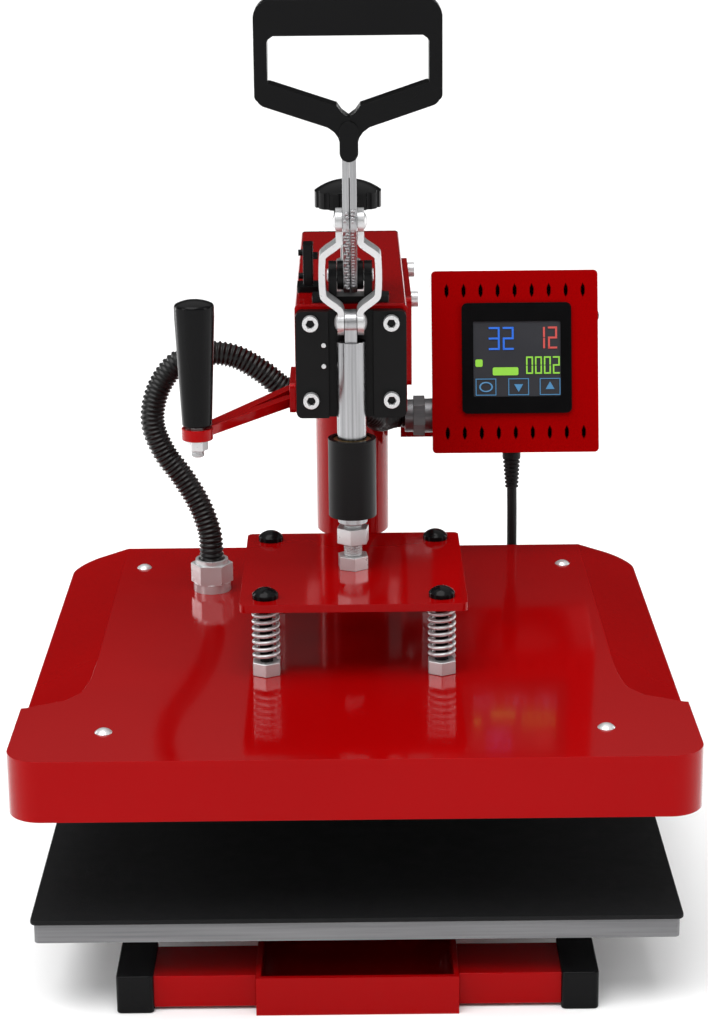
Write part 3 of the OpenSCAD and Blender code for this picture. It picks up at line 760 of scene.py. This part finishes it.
class BuildLead(bpy.types.Operator):
    """Lays the mains lead, its strain relief and its plug"""

    bl_idname = "heat_press.lead"
    bl_label = "Mains lead"

    def execute(self, context):
        diameter = context.scene.heat_press_sizes.lead_diameter
        relief = self.strain_relief()
        plug = self.plug()
        lead = smooth_route(LEAD_ROUTE, 2)
        tail = smooth_route(TAIL_ROUTE, 3)
        start = lead[-1]
        centre = start - Vector((COIL_RADIUS * MM, 0, 0))
        coil = []
        for i in range(1, int(COIL_STEPS * COIL_TURNS)):
            turn = i / COIL_STEPS
            angle = 2 * math.pi * turn
            coil.append(centre + Vector((
                COIL_RADIUS * MM * math.cos(angle), COIL_RADIUS * MM * math.sin(angle),
                diameter * turn)))
        points = lead + coil + tail
        cord = curve_through(points, "mains_lead")
        cord.data.bevel_depth = diameter / 2
        cord.data.bevel_resolution = 4
        cord.data.use_fill_caps = True
        finished(cord, "mains_lead", "arm", "cable_black", replaces=["power_cord", "cord_coil"])
        round(path_length(points), 3)
        return {"FINISHED"}

    @staticmethod
    def strain_relief():
        """Tapered sleeve with cut ribs, under the control box."""
        profile = [(0.0, 8), (5, 8), (5, 0), (6.5, 0), (6.5, -3)]
        z = -3.0
        while z > -23:
            outer = 6.4 + z * 0.075
            profile += [(outer, z - 1.6), (outer - 0.9, z - 1.9), (outer - 0.9, z - 2.6),
                        (outer - 0.1, z - 2.9)]
            z -= 2.9
        profile += [(4.5, -25), (0.0, -25)]
        obj = turned(profile, 32, "relief")
        put(obj, box_matrix(114, 37, 0))
        smooth(obj)
        return finished(obj, "strain_relief", "arm", "cable_black", replaces=["cord_relief"])

    @staticmethod
    def plug():
        """Moulded plug with grip rings and two pins."""
        profile = [(0.0, 0), (5.2, 0), (6, 1), (6, 7), (8.2, 9), (10.2, 11), (10.8, 13)]
        for i in range(5):
            z = 15 + 3.4 * i
            profile += [(10.8, z), (10.0, z + 0.5), (10.0, z + 1.5), (10.8, z + 2.0)]
        profile += [(11, 36), (11, 41), (10.2, 42), (0.0, 42)]
        body = turned(profile, 40, "plug_body")
        pins = []
        for side in (-1, 1):
            pin = turned([(0.0, 41.5), (2, 41.5), (2, 58.5), (1.2, 60), (0.0, 60)], 20, "pin")
            put(pin, Matrix.Translation((0, 6.5 * side * MM, 0)))
            pins.append(pin)
        end = Vector(TAIL_ROUTE[-1]) * MM
        turn = Matrix.Translation(end) @ Matrix.Rotation(-math.pi / 2, 4, "Y")
        for obj in [body] + pins:
            put(obj, turn)
            smooth(obj)
        pins = join(pins, "plug_pins")
        finished(pins, "plug_pins", "arm", "zinc")
        body = finished(body, "plug_body", "arm", "cable_black", replaces=["power_plug"])
        pins.parent = body
        return body


class BuildHose(bpy.types.Operator):
    """Bends the corrugated hose along its route"""

    bl_idname = "heat_press.hose"
    bl_label = "Hose"

    def execute(self, context):
        sizes = context.scene.heat_press_sizes
        points = smooth_route(HOSE_ROUTE, 6)
        length = path_length(points)
        ridges = int(length / sizes.hose_pitch)
        pitch = length / ridges
        outer = sizes.hose_diameter / 2
        shoulder = outer - 0.0002
        inner = outer - 0.0011
        ridge = ((inner, 0.16), (shoulder, 0.34), (outer, 0.5), (shoulder, 0.66), (inner, 0.84))
        profile = [(inner, 0)]
        for i in range(ridges):
            profile += [(radius, i * pitch + part * pitch) for radius, part in ridge]
        profile.append((inner, length))
        hose = revolved(profile, 24, "hose_tube")
        close_ends(hose)
        route = curve_through(points, "hose_route")
        # A curve modifier runs along X, so the tube is laid along X first
        put(hose, Matrix.Rotation(math.pi / 2, 4, "Y"))
        modify(hose, "CURVE", object=route, deform_axis="POS_X")
        bpy.data.objects.remove(route)
        outward(hose)
        smooth(hose, 60)
        finished(hose, "control_hose", "arm", "cable_black", "hose", replaces=["hose"])
        hose.parent = None
        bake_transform(hose)
        return {"FINISHED"}


class BuildRedMetalwork(bpy.types.Operator):
    """Finishes the red base, arm, brackets and covers"""

    bl_idname = "heat_press.red_metalwork"
    bl_label = "Red metalwork"

    def execute(self, context):
        round_all({
            "base_channel": 0.7, "foot_tubes": 0.8, "platen_pedestal": 0.8, "arm_beam": 0.8,
            "swivel_sleeve": 2.0, "side_bracket": 0.6, "control_box_shell": 0.5,
            "control_box_back": 0.4, "swing_bracket": 1.2, "spring_plate": 0.8,
        }, 3)
        # The pressing's faces meet at shallow angles, so its edges are taken from less
        rounded("head_cover", 4.2 * MM, 5, angle=14)
        return {"FINISHED"}


class BuildBlackIronwork(bpy.types.Operator):
    """Finishes the guide, the fulcrum and the hub"""

    bl_idname = "heat_press.black_ironwork"
    bl_label = "Black ironwork"

    def execute(self, context):
        round_all({"guide_bracket": 1.0, "fulcrum_bracket": 0.7, "lever_hub": 0.7}, 3)
        return {"FINISHED"}


class BuildMouldings(bpy.types.Operator):
    """Finishes the handle, grips, knob, caps and bezel"""

    bl_idname = "heat_press.mouldings"
    bl_label = "Mouldings"

    def execute(self, context):
        round_all({
            "foot_end_caps": 1.8, "arm_rear_cap": 0.8, "limit_switch": 0.4, "swing_grip": 1.8,
            "power_switch": 0.5, "pressure_knob": 0.9, "handle_grip": 3.4, "bolt_caps": 0.5,
            "display_bezel": 0.5,
        }, 4)
        return {"FINISHED"}


class BuildFasteners(bpy.types.Operator):
    """Finishes the screws, nuts, pins and glands"""

    bl_idname = "heat_press.fasteners"
    bl_label = "Fasteners"

    def execute(self, context):
        round_all({
            "pedestal_bolts": 0.5, "guide_screws": 0.5, "fulcrum_pin": 0.6,
            "side_bracket_bolts": 0.5, "grip_stud": 0.5, "stud_nuts": 0.7, "spring_nuts": 0.7,
            "cover_screws": 0.2, "box_gland": 0.7, "knob_collar": 0.5,
            "link_straps": 0.8, "link_bolts": 0.3,
        }, 3)
        x, y, _ = HOSE_ROUTE[0]
        depth = 20
        seat = primitive("cylinder", vertices=64, radius=SEAT_RADIUS * MM, depth=depth * MM,
                         location=(x * MM, y * MM, (SEAT_FLOOR + depth / 2) * MM))
        rounded("head_gland", 0.7 * MM, 3, cutter=seat)
        kept("head_bolts", "pressure_screw")
        self.threads()
        # Painted shade: black discs in the guide screws' hex recesses
        self.paint_socket_shade()
        return {"FINISHED"}

    @staticmethod
    def paint_socket_shade():
        """Black hexagon discs at the bottom of the guide screws' hex recesses: painted shade
        standing in for the shadow in each recess.
        """
        shade_discs = []
        for x in (-25.1, 25.1):
            for z in (323, 372):
                floor = primitive(
                    "cylinder", turn=(math.pi / 2, 0, 0), vertices=6, radius=2.7 * MM,
                    depth=0.4 * MM, location=(x * MM, 3.7 * MM, z * MM))
                modify(floor, "BEVEL", width=0.12 * MM, segments=2)
                shade_discs.append(floor)
        # The discs carry black paint as painted shade in the recesses
        finished(join(shade_discs, "socket_shade_discs"), "socket_shade_discs", "arm", "black_paint")

    @staticmethod
    def threads():
        """Cut threads on the adjusting stud and on the end of the grip's stud."""
        studs = [
            ("adjusting_stud", (0, 0, 205), 5.8, 68, 1.5, "plunger"),
            ("grip_thread", (-93, -55, 303.8), 3.9, 4.6, 1.0, "arm"),
        ]
        for name, place, radius, length, pitch, body in studs:
            profile = [(0.0, 0), (radius - 0.8, 0)]
            for i in range(int(length / pitch)):
                z = 0.3 + i * pitch
                profile += [(radius - 0.7, z), (radius, z + 0.4 * pitch),
                            (radius, z + 0.5 * pitch), (radius - 0.7, z + 0.9 * pitch)]
            profile += [(radius - 0.8, length), (0.0, length)]
            obj = turned(profile, 32, name)
            put(obj, Matrix.Translation(Vector(place) * MM))
            smooth(obj, 25)
            own = [name] if name in NODES else []
            finished(obj, name + "_thread", body, "zinc", replaces=own)


class BuildLinkage(bpy.types.Operator):
    """Finishes the lever bars, the tongue and the plunger tube"""

    bl_idname = "heat_press.linkage"
    bl_label = "Lever and plunger"

    def execute(self, context):
        round_all({"lever_bars": 0.6}, 3)
        round_all({"plunger_tongue": 0.5, "plunger_tube": 0.6, "column": 0.8}, 2)
        self.weld_beads()
        return {"FINISHED"}

    @staticmethod
    def weld_beads():
        """Two rows of weld beads down the front of the seam between the bars."""
        beads = []
        corners = [Vector((0, 6.9, 394.3)), Vector((0, -16.9, 432.2)), Vector((0, -18, 438)),
                   Vector((0, -18, 447))]
        spots = []
        for low, high in zip(corners, corners[1:]):
            steps = round((high - low).length / 2.3)
            spots += [low.lerp(high, i / steps) for i in range(steps)]
        for i, spot in enumerate(spots):
            for side in (-1, 1):
                wave = math.sin(2.3 * i + side)
                place = (spot + Vector((side * (1.9 + 0.5 * wave), 0, 0.8 * side))) * MM
                beads.append(primitive(
                    "ico_sphere", turn=(0.5, 0, 0.5 * wave), stretch=(1.2 + 0.2 * wave, 0.75, 0.9),
                    subdivisions=2, radius=1.45 * MM, location=place))
        bead = join(beads, "weld_beads")
        smooth(bead, 180)
        finished(bead, "weld_beads", "lever", "steel")


class BuildSprings(bpy.types.Operator):
    """Winds the four springs under the spring plate"""

    bl_idname = "heat_press.springs"
    bl_label = "Springs"

    def execute(self, context):
        sizes = context.scene.heat_press_sizes
        low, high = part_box("pressure_springs")
        wire = sizes.spring_wire / 2
        coil_r = SPRING_RADIUS * MM - wire
        height = high.z - low.z - 2 * wire
        ring = 12
        profile = [(coil_r + wire * math.cos(2 * math.pi * i / ring),
                    wire * math.sin(2 * math.pi * i / ring)) for i in range(ring)]
        first = revolved(profile + profile[:1], int(22 * sizes.spring_turns), "spring",
                         screw=height, turns=sizes.spring_turns)
        close_ends(first)
        x = high.x - SPRING_RADIUS * MM
        y = high.y - SPRING_RADIUS * MM
        springs = []
        for sx in (-1, 1):
            for sy in (-1, 1):
                one = first.copy()
                one.data = first.data.copy()
                context.scene.collection.objects.link(one)
                put(one, Matrix.Translation((sx * x, sy * y, low.z + wire)))
                springs.append(one)
        bpy.data.objects.remove(first)
        made = join(springs, "springs")
        smooth(made, 60)
        finished(made, "wound_springs", "plunger", "zinc", replaces=["pressure_springs"])
        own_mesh(made)
        return {"FINISHED"}


class BuildPlatens(bpy.types.Operator):
    """Finishes the heating platen, the lower platen and its pad"""

    bl_idname = "heat_press.platens"
    bl_label = "Platens"

    def execute(self, context):
        round_all({"silicone_pad": 0.9, "lower_platen": 0.8, "heating_platen": 0.8}, 3)
        kept("insulation", "heating_element", "thrust_disc", "sleeve_bushes", "guide_bush")
        return {"FINISHED"}


class BuildDisplay(bpy.types.Operator):
    """Fills the display with its lit figures and touch fields"""

    bl_idname = "heat_press.display"
    bl_label = "Display"

    def execute(self, context):
        kept("display_screen", "circuit_board", "power_relay")
        for row in FIGURES:
            self.figures(*row)
        self.bars()
        self.touch_fields()
        return {"FINISHED"}

    def lay(self, obj, name, material):
        """Stands a flat piece on the display's pane."""
        put(obj, box_matrix(0, -1.42, 0))
        return finished(obj, name, "arm", "display_glass", material)

    def figures(self, text, x, z, width, height, material, name):
        """A row of seven-stroke figures; tall ones have thicker strokes and wider gaps."""
        parts = []
        thick, gap = (1.35, 2.1) if height > 13 else (1.05, 1.35)
        half = height / 2
        for place, figure in enumerate(text):
            left = x + place * (width + gap)
            right = left + width
            spots = {
                "a": (left, right, z + height - thick, z + height),
                "g": (left, right, z + half - thick / 2, z + half + thick / 2),
                "d": (left, right, z, z + thick),
                "f": (left, left + thick, z + half + 0.25, z + height - 0.25),
                "b": (right - thick, right, z + half + 0.25, z + height - 0.25),
                "e": (left, left + thick, z + 0.25, z + half - 0.25),
                "c": (right - thick, right, z + 0.25, z + half - 0.25),
            }
            parts += [slab(*spots[stroke], FOIL, 0.1) for stroke in STROKES[figure]]
        self.lay(join(parts, name), name, material)

    def bars(self):
        green = [self.rounded_bar(99, 117, 54.2, 59.8), self.rounded_bar(86.9, 92, 60.3, 65.5)]
        self.lay(join(green, "green_bars"), "green_bars", "green")

    @staticmethod
    def rounded_bar(x0, x1, z0, z1):
        """A thin bar with round corners."""
        bar = slab(x0, x1, z0, z1, FOIL)
        edit(bar)
        bpy.ops.mesh.select_all(action="DESELECT")
        bpy.ops.mesh.select_mode(type="EDGE")
        leave_edit()
        # The edges through the bar's thickness are its corners
        for edge in bar.data.edges:
            ends = [bar.data.vertices[v].co for v in edge.vertices]
            edge.select = abs(ends[0].y - ends[1].y) > 0.1 * MM
        bpy.ops.object.mode_set(mode="EDIT")
        bpy.ops.mesh.bevel(offset=1.1 * MM, segments=4)
        leave_edit()
        return bar

    def touch_fields(self):
        """Three outlined fields with a ring, a down arrow and an up arrow."""
        parts = []
        width, z0, z1, line = 14.4, 40.2, 52.0, 0.55
        for x0 in (87.0, 109.9, 131.9):
            x1 = x0 + width
            parts += [
                slab(x0, x1, z0, z0 + line, FOIL), slab(x0, x1, z1 - line, z1, FOIL),
                slab(x0, x0 + line, z0 + line, z1 - line, FOIL),
                slab(x1 - line, x1, z0 + line, z1 - line, FOIL),
            ]
        middle = (z0 + z1) / 2
        upright = Matrix.Rotation(math.pi / 2, 4, "X")
        inner, outer, half = 3.2, 4.2, FOIL / 2
        ring = turned([(inner, -half), (outer, -half), (outer, half), (inner, half),
                       (inner, -half)], 32, "ring")
        put(ring, Matrix.Translation(Vector((94.2, 0, middle)) * MM)
            @ Matrix.Diagonal((1.15, 1, 0.85, 1)) @ upright)
        parts.append(ring)
        for x, turn in ((117.1, math.pi), (139.1, 0)):
            arrow = primitive("cylinder", vertices=3, radius=3.6 * MM, depth=FOIL * MM)
            put(arrow, Matrix.Translation(Vector((x, 0, middle)) * MM)
                @ Matrix.Rotation(turn, 4, "Y") @ upright)
            parts.append(arrow)
        self.lay(join(parts, "touch_fields"), "touch_fields", "pale_blue")


OPERATORS = [
    BuildStage, BuildLead, BuildHose, BuildRedMetalwork, BuildBlackIronwork, BuildMouldings,
    BuildFasteners, BuildLinkage, BuildSprings, BuildPlatens, BuildDisplay,
]


class HeatPressPanel(bpy.types.Panel):
    """Lists the steps of the press in the sidebar"""

    bl_idname = "VIEW3D_PT_heat_press"
    bl_label = "Heat press"
    bl_space_type = "VIEW_3D"
    bl_region_type = "UI"
    bl_category = "Heat press"

    def draw(self, context):
        for operator in OPERATORS:
            self.layout.operator(operator.bl_idname)
        for group in (context.scene.heat_press_sizes, context.scene.heat_press_colours):
            for name in group.__annotations__:
                self.layout.prop(group, name)


CLASSES = [HeatPressSizes, HeatPressColours, *OPERATORS, HeatPressPanel]


def register():
    for cls in CLASSES:
        bpy.utils.register_class(cls)
    bpy.types.Scene.heat_press_sizes = bpy.props.PointerProperty(type=HeatPressSizes)
    bpy.types.Scene.heat_press_colours = bpy.props.PointerProperty(type=HeatPressColours)


def unregister():
    del bpy.types.Scene.heat_press_sizes
    del bpy.types.Scene.heat_press_colours
    for cls in reversed(CLASSES):
        bpy.utils.unregister_class(cls)


def main():
    register()
    for operator in OPERATORS:
        group, name = operator.bl_idname.split(".")
        getattr(getattr(bpy.ops, group), name)()


if __name__ == "__main__":
    main()
